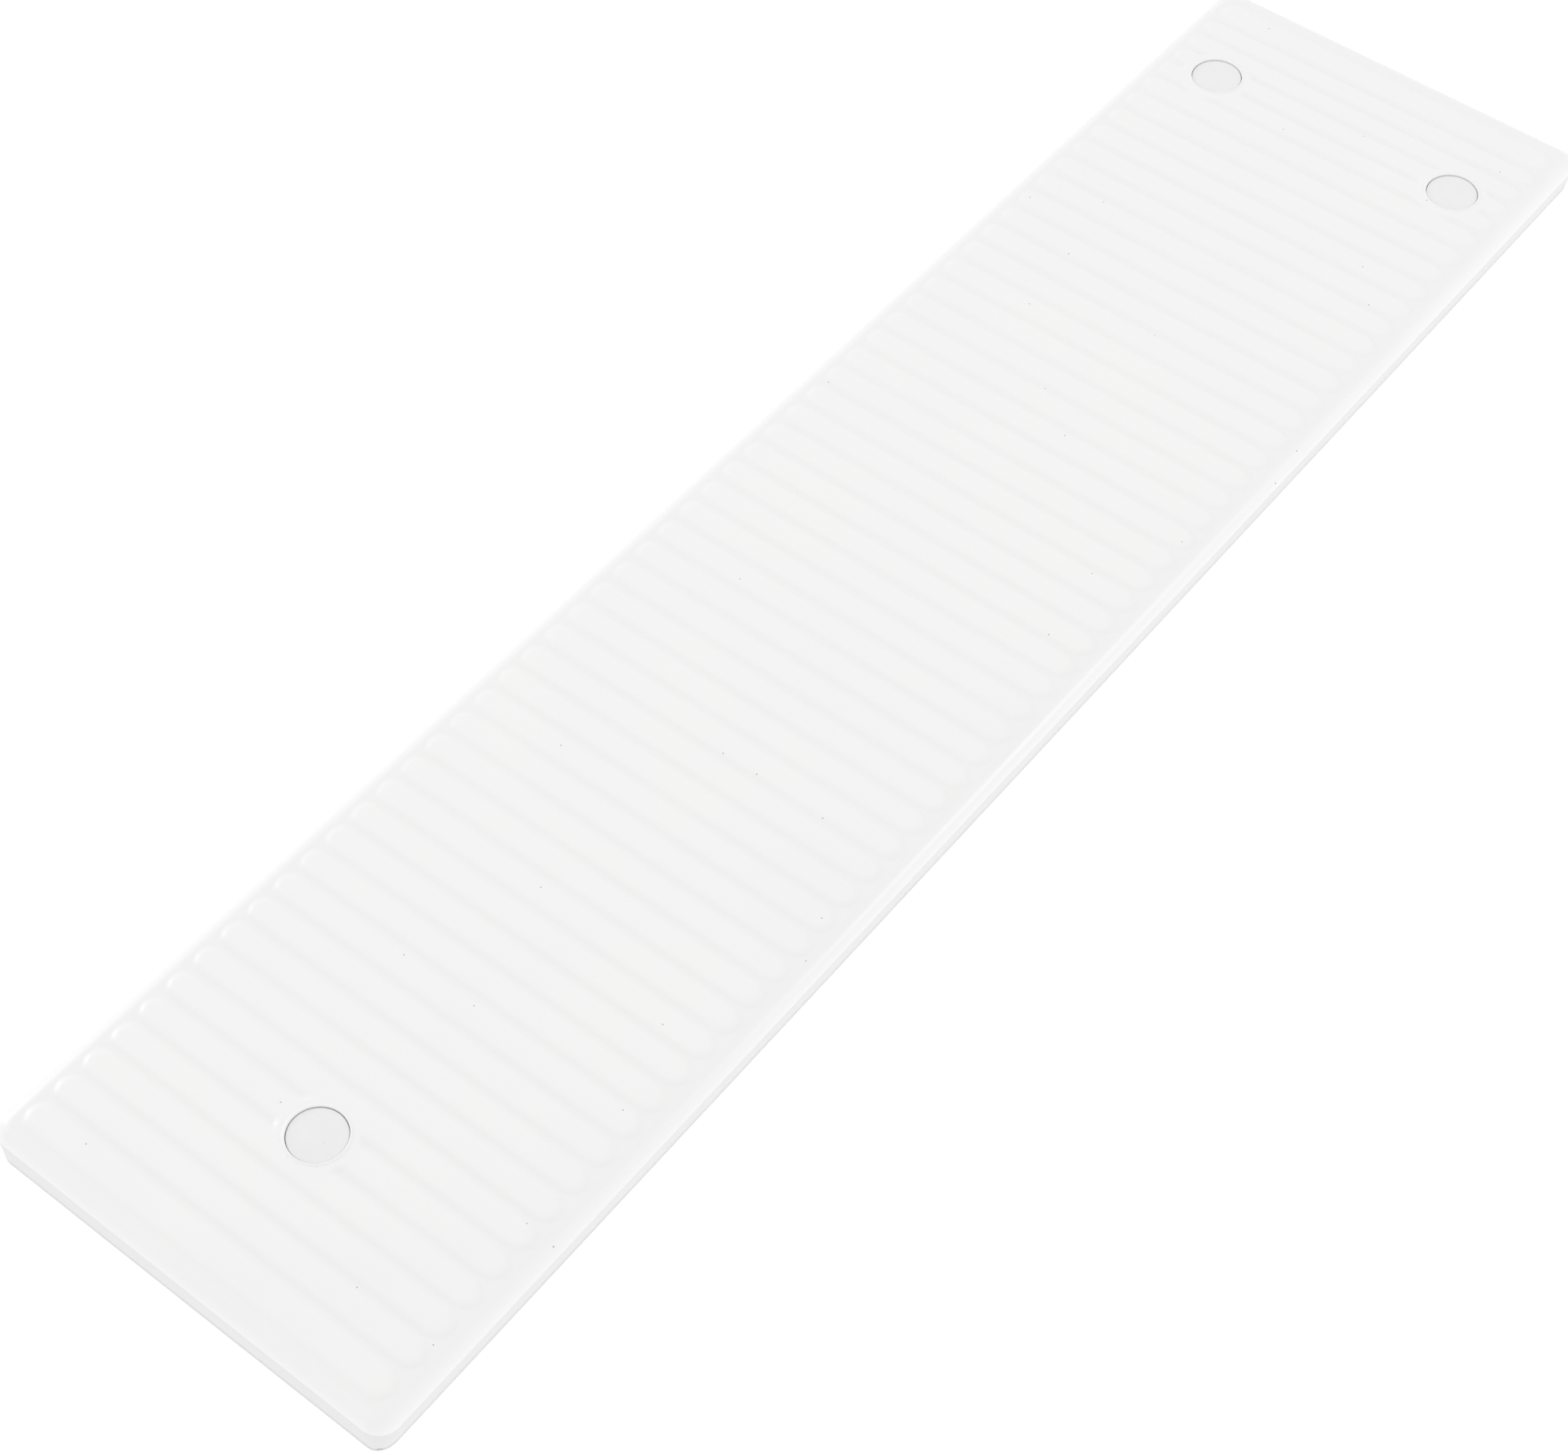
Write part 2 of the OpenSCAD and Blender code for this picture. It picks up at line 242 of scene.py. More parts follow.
rib_zone = 2 * HALF_L - NOSE_MARGIN - TAIL_MARGIN
main_ribs = math.floor((rib_zone - CLOSE_RIBS * CLOSE_PITCH - 2 * END_RIB_MIN) / RIB_PITCH)
end_rib_w = (rib_zone - CLOSE_RIBS * CLOSE_PITCH - main_ribs * RIB_PITCH) / 2
widths = [end_rib_w] + [RIB_PITCH] * main_ribs + [CLOSE_PITCH] * CLOSE_RIBS + [end_rib_w]
grooves = [-HALF_L + NOSE_MARGIN]
for width in widths:
    grooves.append(grooves[-1] + width)
print(len(widths), "ribs from", round(grooves[0], 4), "to", round(grooves[-1], 4))

# %% Rib section
RIB_FLAT = 0.5
RIB_FOOT = 1.05


def rib_height(share):
    """Height at a share of the half width: a flat top, then an S-curve down to a soft foot."""
    down = max(0, min(1, (share - RIB_FLAT) / (RIB_FOOT - RIB_FLAT)))
    return RIB_H * (1 - down * down * (3 - 2 * down))


print("height halfway down a flank:", round(rib_height((RIB_FLAT + RIB_FOOT) / 2) / MM, 2), "mm")

# %% [markdown]
# ## The tread shell, from a grid
# The whole tread starts as one grid. Its long lines are placed on the ribs, at the shares where
# the section bends, and its cross lines run straight until a rib ends, then bend round the rib's
# end as ever wider arcs. Where an arc would be wider than the line's own share, the points meet,
# and are merged afterwards. That way every edge follows the shape, and no rib end is stepped.

# %% Lines of the grid
HALF_SHARES = [0, 0.25, RIB_FLAT, 0.58, 0.66, 0.74, 0.81, 0.88, 0.94, 0.98, 1]
SHARES = [-share for share in reversed(HALF_SHARES[1:])] + HALF_SHARES
LAST_ARC = 1.03
ARC_SHARES = HALF_SHARES + [LAST_ARC]
TAIL_EDGE_STEPS = (4.0, 2.5, 1.2, 0.5, 0)
BOSS_PATCH = 41 * MM

lines = [(-TREAD_HALF_L, None, 0)]
for start, end in zip(grooves, grooves[1:]):
    half_w = (end - start - GROOVE_W) / 2
    lines += [((start + end) / 2 + share * half_w, half_w, abs(share)) for share in SHARES]
    lines.append((end, None, 0))
lines.pop()
lines += [(TREAD_HALF_L - step * MM, None, 0) for step in TAIL_EDGE_STEPS]

straight_rows = sorted(
    centre_of[name].y + step * BOSS_PATCH
    for name in BOLTED
    for step in (-1, -0.5, 0, 0.5, 1)
)
rows = (
    [("edge", -1)]
    + [(-1, share) for share in reversed(ARC_SHARES)]
    + [("straight", y) for y in straight_rows]
    + [(1, share) for share in ARC_SHARES]
    + [("edge", 1)]
)
print(len(lines), "long lines and", len(rows), "cross lines")


# %% Where each point of the grid goes
EDGE_TURN = 20
LAST_ARC_TURN = 10


def edge_point(x, side):
    """The tread's own edge at x: straight, then a corner arc."""
    into_arc = max(abs(x) - (TREAD_HALF_L - TREAD_CORNER_R), 0)
    depth = math.sqrt(max(TREAD_CORNER_R**2 - into_arc**2, 0))
    return side * (TREAD_HALF_W - TREAD_CORNER_R + depth)


def end_line_point(kind, share):
    """How far out along and across a point of the first or last long line is."""
    straight = TREAD_HALF_W - TREAD_CORNER_R
    if kind != "edge" and share != LAST_ARC:
        return TREAD_HALF_L, straight - (1 - share) * TREAD_CORNER_R * 3
    turn = math.radians(EDGE_TURN if kind == "edge" else LAST_ARC_TURN)
    across = straight + TREAD_CORNER_R * math.sin(turn)
    return TREAD_HALF_L - TREAD_CORNER_R * (1 - math.cos(turn)), across


def grid_point(line, row):
    """The place of the point where a long line meets a cross line."""
    x, half_w, share = line
    kind, value = row
    if kind == "straight":
        return Vector((x, value, MARGIN_Z + (rib_height(share) if half_w else 0)))
    side = value if kind == "edge" else kind
    if abs(x) == TREAD_HALF_L:
        x_out, y = end_line_point(kind, value)
        return Vector((math.copysign(x_out, x), side * y, MARGIN_Z))
    if kind == "edge":
        return Vector((x, edge_point(x, side), MARGIN_Z))
    reach = half_w if half_w else (RIB_PITCH - GROOVE_W) / 2
    straight_y = RIB_TIP_Y - reach
    if not half_w:
        return Vector((x, side * straight_y, MARGIN_Z))
    beyond = math.sqrt(max(value**2 - share**2, 0))
    z = MARGIN_Z + rib_height(max(value, share))
    return Vector((x, side * (straight_y + reach * beyond), z))


# %% Make the grid
tread = bmesh.new()
columns, crossings = len(lines), len(rows)
bmesh.ops.create_grid(tread, x_segments=columns - 1, y_segments=crossings - 1, size=1)
tread.verts.ensure_lookup_table()
for index, point in enumerate(tread.verts):
    point.co = grid_point(lines[index % columns], rows[index // columns])
bmesh.ops.remove_doubles(tread, verts=tread.verts, dist=MERGE)
bmesh.ops.dissolve_degenerate(tread, edges=tread.edges, dist=0.001 * MM)
print("grid points left:", len(tread.verts))

# %% [markdown]
# ## Level bosses round the covers
# The ribs die out round each cover into a level, moulded boss. A patch of the grid there is cut
# finer, and its points are lifted towards the boss's height, more and more towards the middle.
# The middle is then taken out, which leaves a ragged hole in a level surface. Pulling the hole's
# edge onto a circle makes it clean, and the same loop goes on over the raised lip, down into the
# recess, along the ledge that the cover sits on, down the bolt cup and through the bolt hole.

# %% Boss and cup sizes
BOSS_Z = MARGIN_Z + RIB_H + 0.2 * MM
BOSS_LEVEL_R = 33 * MM
BOSS_HOLE_R = 30 * MM
BOSS_CUTS = 13
OPENING_SPARE = 1.8 * MM
LIP_R = 1.5 * MM
LIP_FILLET_R = 1.9 * MM
LIP_AT_R = 27.7 * MM
LIP_TOP_Z = shell_high.z
RECESS_R = 26.6 * MM
LEDGE_Z = 41.2 * MM
CUP_R = 23.7 * MM
CUP_FLOOR_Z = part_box("nose_seal_washer")[0].z
HOLE_R = 6.75 * MM
ROUND = 0.5 * MM


def arc(centre_r, centre_z, radius, first, last, steps):
    """Points (r, z) along an arc, with its angles in degrees from level outwards."""
    turns = [math.radians(first + (last - first) * step / steps) for step in range(steps + 1)]
    return [(centre_r + radius * math.cos(t), centre_z + radius * math.sin(t)) for t in turns]


lip_z = LIP_TOP_Z - LIP_R
fillet_z = BOSS_Z + LIP_FILLET_R
fillet_at_r = LIP_AT_R + math.sqrt((LIP_R + LIP_FILLET_R) ** 2 - (fillet_z - lip_z) ** 2)
lip_start = math.degrees(math.atan2(fillet_z - lip_z, fillet_at_r - LIP_AT_R))
lip_end = math.degrees(math.acos((RECESS_R - LIP_AT_R) / LIP_R))
cup_section = (
    [(BOSS_HOLE_R, BOSS_Z)]
    + arc(fillet_at_r, fillet_z, LIP_FILLET_R, -90, lip_start - 180, 4)
    + arc(LIP_AT_R, lip_z, LIP_R, lip_start, lip_end, 9)[1:]
    + [(RECESS_R, LEDGE_Z + ROUND / 2), (RECESS_R - ROUND / 2, LEDGE_Z)]
    + arc(CUP_R + ROUND, LEDGE_Z - ROUND, ROUND, 90, 180, 3)
    + arc(CUP_R - 3 * ROUND, CUP_FLOOR_Z + 3 * ROUND, 3 * ROUND, 0, -90, 4)
    + arc(HOLE_R + ROUND, CUP_FLOOR_Z - ROUND, ROUND, 90, 180, 2)
    + [(HOLE_R, CUP_FLOOR_Z - SHELL_T)]
    + arc(CUP_R + SHELL_T - 2 * ROUND, CUP_FLOOR_Z - SHELL_T + 2 * ROUND, 2 * ROUND, -90, 0, 3)
    + [
        (CUP_R + SHELL_T, LEDGE_Z - SHELL_T),
        (RECESS_R + SHELL_T, LEDGE_Z - SHELL_T),
        (RECESS_R + SHELL_T, MARGIN_Z - SHELL_T),
    ]
)
print("the cup's section has", len(cup_section), "points")


# %% Work the three bosses
def near(point, centre, reach):
    """True for a point inside a square round the centre."""
    return abs(point.x - centre.x) <= reach and abs(point.y - centre.y) <= reach + SAME_PLACE


def raise_boss(bm, centre):
    """Cuts a patch of the tread finer and lifts it to the boss's level round the centre."""
    patch = [
        edge for edge in bm.edges
        if all(near(point.co, centre, BOSS_PATCH) for point in edge.verts)
        and abs(edge.verts[0].co.x - edge.verts[1].co.x) < 0.001 * MM
    ]
    bmesh.ops.subdivide_edges(bm, edges=patch, cuts=BOSS_CUTS, use_grid_fill=True)
    for point in bm.verts:
        if not near(point.co, centre, BOSS_PATCH):
            continue
        away = (point.co.xy - centre).length
        blend = max(0, min(1, (BOSS_PATCH - away) / (BOSS_PATCH - BOSS_LEVEL_R)))
        blend = blend * blend * (3 - 2 * blend)
        point.co.z += (BOSS_Z - point.co.z) * blend


def sink_cup(bm, centre):
    """Opens the boss and pulls the opening's edge along the cup's section."""
    middle = [
        face for face in bm.faces
        if (face.calc_center_median().xy - centre).length < BOSS_HOLE_R + OPENING_SPARE
    ]
    bmesh.ops.delete(bm, geom=middle, context="FACES")
    loop = [
        edge for edge in bm.edges
        if edge.is_boundary and all((point.co.xy - centre).length < BOSS_PATCH for point in edge.verts)
    ]
    for radius, z in cup_section:
        def place(old):
            spot = centre + (old.xy - centre).normalized() * radius
            return Vector((spot.x, spot.y, z))
        loop = pull(bm, loop, place)


for name in BOLTED:
    raise_boss(tread, centre_of[name])
    sink_cup(tread, centre_of[name])
print("points with bosses and cups:", len(tread.verts))

# %% [markdown]
# ## Shoulders, walls and the inside of the shell
# The tread's outer edge has a point for every line of the grid, far more than a plain shoulder
# needs. After the first pull, most of those points are dissolved and leave a lighter loop. It runs
# down the shoulder's arc, over the crisp crease, down the leaning wall, round the skirt's edge and
# up the inside, and a triangle fill closes the underside between that loop and the three cups.

# %% Sweep the edge
SHOULDER_END = math.asin(SHOULDER_W / SHOULDER_R)
FIRST_TURN = math.radians(2.5)
CREASE_BEVEL = 0.35 * MM
SHOULDER_STEPS = 10
INNER_STEPS = 5
inner_r = SHOULDER_R - SHELL_T
inner_end = math.asin((SHOULDER_W - SHELL_T) / inner_r)

edge_loop = [
    edge for edge in tread.edges
    if edge.is_boundary and all(abs(point.co.z - MARGIN_Z) < SAME_PLACE for point in edge.verts)
    and not any(near(point.co, centre_of[name], BOSS_PATCH) for name in BOLTED for point in edge.verts)
]
edge_loop = pull(tread, edge_loop, lambda old: on_shoulder(old, FIRST_TURN, SHOULDER_R))
kept_x = grooves[1:-1]


def can_go(point):
    """True for a point on a long side that isn't on a groove."""
    along_side = abs(point.x) < TREAD_HALF_L - TREAD_CORNER_R - 0.5 * MM
    return along_side and min(abs(point.x - x) for x in kept_x) > SAME_PLACE


spare = {point for edge in edge_loop for point in edge.verts if can_go(point.co)}
kept = {point for edge in edge_loop for point in edge.verts} - spare
bmesh.ops.dissolve_verts(tread, verts=list(spare))
edge_loop = [
    edge for edge in tread.edges
    if edge.is_boundary and all(point in kept for point in edge.verts)
]
print("the edge loop keeps", len(edge_loop), "edges")

# %% Down the outside and up the inside
arc_left = SHOULDER_END - CREASE_BEVEL / SHOULDER_R - FIRST_TURN
for step in range(1, SHOULDER_STEPS + 1):
    turn = FIRST_TURN + arc_left * step / SHOULDER_STEPS
    edge_loop = pull(tread, edge_loop, lambda old: on_shoulder(old, turn, SHOULDER_R))
wall_path = [
    (0.06 * MM, CREASE_Z + 0.02 * MM),
    (0, CREASE_Z - CREASE_BEVEL),
    (0, (CREASE_Z + SKIRT_Z) / 2),
    (0, SKIRT_Z + ROUND),
    (0.15 * ROUND, SKIRT_Z + 0.5 * ROUND),
    (0.5 * ROUND, SKIRT_Z + 0.15 * ROUND),
    (ROUND, SKIRT_Z),
    (SHELL_T, SKIRT_Z),
]
for inset, z in wall_path:
    edge_loop = pull(tread, edge_loop, lambda old: on_wall(old, inset, z))
for step in range(INNER_STEPS + 1):
    turn = inner_end * (1 - step / INNER_STEPS)
    edge_loop = pull(tread, edge_loop, lambda old: on_shoulder(old, turn, inner_r))
# A fill depends on the order of its edges, so they go in by place, for the same mesh each run.
underside = sorted(open_edges(tread), key=lambda edge: tuple(edge.verts[0].co + edge.verts[1].co))
bmesh.ops.triangle_fill(tread, edges=underside, use_beauty=True)
tread_piece = finished("tread", tread, "board", "tread_acrylic", ["tread_shell"])

# %% [markdown]
# ## Base pan and sealant bead
# The base pan is the board's flat bottom skin, bored for the bolts. A bead of sealant closes the
# joint between it and the skirt, and shows as a thin dark line. Both start as one rectangle whose
# corners are rounded by a vertex bevel, and are pulled along a small section of insets and heights.

# %% Rounded plan
CORNER_STEPS = 10
PAN_T = pan_high.z
PAN_ROUND = 1.5 * MM
PAN_ROUND_STEPS = 5
BORE_SIDES = 40


def rounded_plan(bm):
    """The board's plan as a loop of edges, with nothing inside it."""
    bmesh.ops.create_grid(bm, x_segments=1, y_segments=1, size=1)
    for point in bm.verts:
        point.co = Vector((point.co.x * HALF_L, point.co.y * HALF_W, 0))
    bmesh.ops.bevel(
        bm, geom=bm.verts[:], offset=CORNER_R, segments=CORNER_STEPS, profile=0.5,
        affect="VERTICES", material=-1,
    )
    bmesh.ops.delete(bm, geom=bm.faces[:], context="FACES_ONLY")
    return bm.edges[:]


# %% Base pan
base = bmesh.new()
rim = rounded_plan(base)
for point in base.verts:
    point.co = on_wall(point.co, PAN_ROUND, 0)
bores = []
for name in BOLTED:
    bore = bmesh.ops.create_circle(
        base, segments=BORE_SIDES, radius=HOLE_R, matrix=Matrix.Translation(centre_of[name].to_3d())
    )["verts"]
    bores += {edge for point in bore for edge in point.link_edges}
bmesh.ops.triangle_fill(base, edges=base.edges[:], use_beauty=True)
for step in range(1, PAN_ROUND_STEPS + 1):
    turn = math.radians(90 * step / PAN_ROUND_STEPS)
    inset = PAN_ROUND * (1 - math.sin(turn))
    z = PAN_ROUND * (1 - math.cos(turn))
    rim = pull(base, rim, lambda old: on_wall(old, inset, z))
for inset, z in ((0, PAN_T - 0.4 * MM), (0.12 * MM, PAN_T - 0.12 * MM), (0.4 * MM, PAN_T)):
    rim = pull(base, rim, lambda old: on_wall(old, inset, z))
pull(base, bores, lambda old: Vector((old.x, old.y, PAN_T)))
bmesh.ops.triangle_fill(base, edges=open_edges(base), use_beauty=True)
base_piece = finished("base", base, "board", "base_acrylic", ["base_pan"])

# %% Sealant bead
seal_mid_z = (seal_low.z + seal_high.z) / 2
bead_section = [
    (0.95 * MM, seal_low.z),
    (0.62 * MM, seal_low.z + 0.12 * MM),
    (0.5 * MM, seal_mid_z),
    (0.62 * MM, seal_high.z - 0.12 * MM),
    (0.95 * MM, seal_high.z),
    (SHELL_T, seal_high.z),
    (SHELL_T, seal_low.z),
]
bead = bmesh.new()
first_loop = loop = rounded_plan(bead)
for point in bead.verts:
    point.co = on_wall(point.co, *bead_section[0])
for inset, z in bead_section[1:]:
    loop = pull(bead, loop, lambda old: on_wall(old, inset, z))
bmesh.ops.bridge_loops(bead, edges=first_loop + loop)
bead_piece = finished("seal_bead", bead, "board", "sealant", ["edge_seal"], crease_angle=60)

# %% [markdown]
# ## Bolt covers
# Each cover is a thin disc with a softened edge and four sprung fingers that snap into the cup.
# The disc is a half section spun all the way round. A finger is a small closed section spun
# through less than a quarter turn, with its two ends filled. The low barb near its tip is what
# snaps in on a real cover. Here it stays just clear of the cup, so nothing is drawn squeezed.

# %% Turned shapes
def spun(bm, section, centre, closed, start=0, angle=360, steps=96):
    """Spins (r, z) points round the vertical line through centre, from the angle start."""
    turn = math.radians(start)
    points = [
        bm.verts.new((centre.x + r * math.cos(turn), centre.y + r * math.sin(turn), z))
        for r, z in section
    ]
    pairs = list(zip(points, points[1:])) + ([(points[-1], points[0])] if closed else [])
    edges = [bm.edges.new(pair) for pair in pairs]
    bmesh.ops.spin(
        bm, geom=points + edges, cent=(centre.x, centre.y, 0), axis=(0, 0, 1),
        angle=math.radians(angle), steps=steps, use_merge=angle == 360,
    )


# %% Covers
COVER_T = 3 * MM
COVER_EDGE = 0.8 * MM
FINGER_R = 23.45 * MM
FINGER_T = 1.6 * MM
FINGER_SLOT = 8 * MM
BARB = 0.12 * MM


def make_cover(name):
    """A cover's disc with its four fingers, at the place and size of its CAD node."""
    low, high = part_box(name)
    centre = Vector(((low.x + high.x) / 2, (low.y + high.y) / 2))
    cover_r, top, under = (high.x - low.x) / 2, high.z, high.z - COVER_T
    cover = bmesh.new()
    disc = (
        [(0, top), (cover_r * 0.5, top)]
        + arc(cover_r - COVER_EDGE, top - COVER_EDGE, COVER_EDGE, 90, 0, 5)
        + arc(cover_r - ROUND / 2, under + ROUND / 2, ROUND / 2, 0, -90, 2)
        + [(FINGER_R + ROUND, under), (FINGER_R - 2 * FINGER_T, under), (0, under)]
    )
    spun(cover, disc, centre, closed=False)
    finger = [
        (FINGER_R, under + ROUND),
        (FINGER_R, low.z + 2.2 * MM),
        (FINGER_R + BARB, low.z + 1.6 * MM),
        (FINGER_R + BARB, low.z + 1.1 * MM),
        (FINGER_R - ROUND, low.z),
        (FINGER_R - FINGER_T, low.z),
        (FINGER_R - FINGER_T, under + ROUND),
    ]
    gap = math.degrees(math.asin(FINGER_SLOT / 2 / FINGER_R))
    for quarter in range(4):
        spun(cover, finger, centre, closed=True, start=90 * quarter + gap, angle=90 - 2 * gap, steps=16)
    bmesh.ops.remove_doubles(cover, verts=cover.verts, dist=MERGE)
    bmesh.ops.holes_fill(cover, edges=open_edges(cover), sides=0)
    return finished(name + "_disc", cover, name, "cover_plastic", [name], crease_angle=40)


cover_pieces = [make_cover(name + "_cover") for name in BOLTED]

# %% [markdown]
# ## Bolts
# A half-inch hexagon bolt goes through the board at each cover. Its head is a circle pushed out to
# a hexagon, and the chamfer on top cuts the corners lower than the flats. The thread is a small
# closed ridge swept down a helix by a spin that also climbs, round a core of the root's diameter.

# %% Bolt shapes
BOLT_R = 6.35 * MM
THREAD_PITCH = 25.4 / 13 * MM
ROOT_DEPTH = 0.95 * MM
ROOT_R = BOLT_R - ROOT_DEPTH
RIDGE_SINK = 0.1 * MM
RIDGE_FOOT = 0.44 * THREAD_PITCH
RIDGE_CREST = 0.07 * THREAD_PITCH
SHANK_R = BOLT_R - 0.6 * MM
THREAD_TOP_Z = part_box("nose_pad")[0].z - 6 * MM
HEAD_H = 8 * MM
HEAD_CHAMFER = math.tan(math.radians(30))
HEAD_TOP_SHARE = 0.95
HEAD_BREAK = 0.3 * MM
END_CHAMFER = 1.5 * MM
TURN_STEPS = 24


def ring_at(centre, radius_at, z_at):
    """A place function for pull: radius and height may both depend on the angle round the centre."""
    def place(old):
        angle = math.atan2(old.y - centre.y, old.x - centre.x)
        r = radius_at(angle) if callable(radius_at) else radius_at
        z = z_at(angle) if callable(z_at) else z_at
        return Vector((centre.x + r * math.cos(angle), centre.y + r * math.sin(angle), z))
    return place


def make_bolt(name):
    """A bolt with its head, shank and thread, at the place and size of its CAD node."""
    low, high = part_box(name)
    centre = Vector(((low.x + high.x) / 2, (low.y + high.y) / 2))
    half_flats = (high.y - low.y) / 2
    top, seat = high.z, high.z - HEAD_H

    def hexagon(angle):
        return half_flats / math.cos(angle % math.radians(60) - math.radians(30))

    def cut_corner(angle):
        return top - (hexagon(angle) - HEAD_TOP_SHARE * half_flats) * HEAD_CHAMFER

    bolt = bmesh.new()
    bmesh.ops.create_circle(
        bolt, segments=48, radius=SHANK_R, matrix=Matrix.Translation((centre.x, centre.y, seat))
    )
    start = bolt.edges[:]
    loop = pull(bolt, start, ring_at(centre, lambda angle: hexagon(angle) - HEAD_BREAK, seat))
    loop = pull(bolt, loop, ring_at(centre, hexagon, seat + HEAD_BREAK))
    loop = pull(bolt, loop, ring_at(centre, hexagon, cut_corner))
    loop = pull(bolt, loop, ring_at(centre, HEAD_TOP_SHARE * half_flats, top))
    pull(bolt, loop, ring_at(centre, 0.5 * half_flats, top))
    for radius, z in (
        (SHANK_R, THREAD_TOP_Z + 0.5 * MM),
        (ROOT_R, THREAD_TOP_Z - 0.4 * MM),
        (ROOT_R, low.z + END_CHAMFER - ROOT_DEPTH),
        (BOLT_R - END_CHAMFER, low.z),
    ):
        start = pull(bolt, start, ring_at(centre, radius, z))
    bmesh.ops.holes_fill(bolt, edges=open_edges(bolt), sides=0)
    add_thread(bolt, centre, low.z, THREAD_TOP_Z)
    return finished(name + "_turned", bolt, "board", "stainless_steel", [name], crease_angle=30)


def add_thread(bm, centre, low_z, high_z):
    """A closed ridge on a right-hand helix, thinned where it runs out at the top and the chamfer."""
    turns = math.floor((high_z - low_z) / THREAD_PITCH - 1)
    start_z = low_z + 0.6 * THREAD_PITCH
    ridge = [
        (ROOT_R - RIDGE_SINK, -RIDGE_FOOT),
        (BOLT_R, -RIDGE_CREST),
        (BOLT_R, RIDGE_CREST),
        (ROOT_R - RIDGE_SINK, RIDGE_FOOT),
    ]
    points = [bm.verts.new((centre.x + r, centre.y, start_z + z)) for r, z in ridge]
    edges = [bm.edges.new(pair) for pair in zip(points, points[1:] + points[:1])]
    before = set(bm.verts) - set(points)
    bmesh.ops.spin(
        bm, geom=points + edges, cent=(centre.x, centre.y, 0), axis=(0, 0, 1),
        dvec=(0, 0, THREAD_PITCH / TURN_STEPS), angle=math.tau * turns, steps=TURN_STEPS * turns,
    )
    bmesh.ops.holes_fill(bm, edges=open_edges(bm), sides=0)
    run_out_z = start_z + (turns - 0.7) * THREAD_PITCH
    for point in set(bm.verts) - before:
        out = point.co.xy - centre
        limit = BOLT_R - END_CHAMFER + max(point.co.z - low_z, 0)
        if point.co.z > run_out_z:
            limit = min(limit, BOLT_R - (point.co.z - run_out_z) / THREAD_PITCH * ROOT_DEPTH)
        spot = centre + out.normalized() * min(out.length, limit)
        point.co = Vector((spot.x, spot.y, point.co.z))


bolt_pieces = [make_bolt(name + "_bolt") for name in BOLTED]

# %% [markdown]
# ## Rubber pads
# A ring of rubber under each bolt keeps the board off its stand. The spun section has softened
# edges and three shallow grooves in its underside, which grip and let water out.

# %% Pads
PAD_EDGE = 0.9 * MM
PAD_GROOVES = (14 * MM, 20 * MM, 26 * MM)


def make_pad(name):
    """A pad with its three grooves, at the place and size of its CAD node."""
    low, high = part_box(name)
    centre = Vector(((low.x + high.x) / 2, (low.y + high.y) / 2))
    pad_r = (high.x - low.x) / 2
    under = [(HOLE_R, low.z + ROUND), (HOLE_R + ROUND, low.z)]
    for groove_r in PAD_GROOVES:
        for step, depth in ((-1.1, 0), (-0.6, 0.6), (0.6, 0.6), (1.1, 0)):
            under.append((groove_r + step * MM, low.z + depth * MM))
    outside = arc(pad_r - PAD_EDGE, low.z + PAD_EDGE, PAD_EDGE, -90, 0, 4)
    outside += arc(pad_r - ROUND, high.z - ROUND, ROUND, 0, 90, 3)
    pad = bmesh.new()
    spun(pad, under + outside + [(HOLE_R, high.z)], centre, closed=True)
    return finished(name + "_ring", pad, "board", "rubber", [name], crease_angle=40)


pad_pieces = [make_pad(name + "_pad") for name in BOLTED]

# %% [markdown]
# ## Shared effects
# Materials here are node trees that read Object coordinates, so a pattern stays put on the piece
# and has the same scale everywhere. Four effects come back in several finishes: the faint ripple
# and grain of a moulded skin, a few specks, a tint in patches, which is dirt on most finishes and
# painted shade in the tread's grooves, and wood grain. Each is a node group, built once, with the
# numbers that differ left as its inputs.

# %% Node helpers
def feed(tree, socket, value):
    """Links a socket to another one, or sets it to a plain value."""
    if isinstance(value, bpy.types.NodeSocket):
        tree.links.new(value, socket)
    else:
        socket.default_value = value


def node(tree, kind, inputs=None, **settings):
    """Adds a shader node with its settings, and feeds its inputs by name or number."""
    made = tree.nodes.new("ShaderNode" + kind)
    for key, value in settings.items():
        setattr(made, key, value)
    for key, value in (inputs or {}).items():
        feed(tree, made.inputs[key], value)
    return made


def maths(tree, operation, first, second):
    """One sum on two values."""
    return node(tree, "Math", {0: first, 1: second}, operation=operation).outputs[0]


def ramp(tree, value, low, high, start=0, end=1):
    """Maps a value from low..high to start..end, and no further."""
    spans = {"Value": value, "From Min": low, "From Max": high, "To Min": start, "To Max": end}
    return node(tree, "MapRange", spans).outputs[0]


def mix(tree, factor, first, second):
    """Mixes two colours."""
    made = node(tree, "Mix", {0: factor, 6: first, 7: second}, data_type="RGBA")
    return made.outputs[2]


def cloud(tree, vector, scale, detail=2):
    """Soft noise, from about 0.3 to 0.7."""
    made = node(tree, "TexNoise", {"Vector": vector, "Scale": scale, "Detail": detail})
    return made.outputs["Fac"]


def mapped(tree, vector, turn=0, scale=(1, 1, 1)):
    """Coordinates turned about Z by some degrees and scaled, to turn or draw out a pattern."""
    inputs = {"Vector": vector, "Rotation": (0, 0, math.radians(turn)), "Scale": scale}
    return node(tree, "Mapping", inputs).outputs[0]


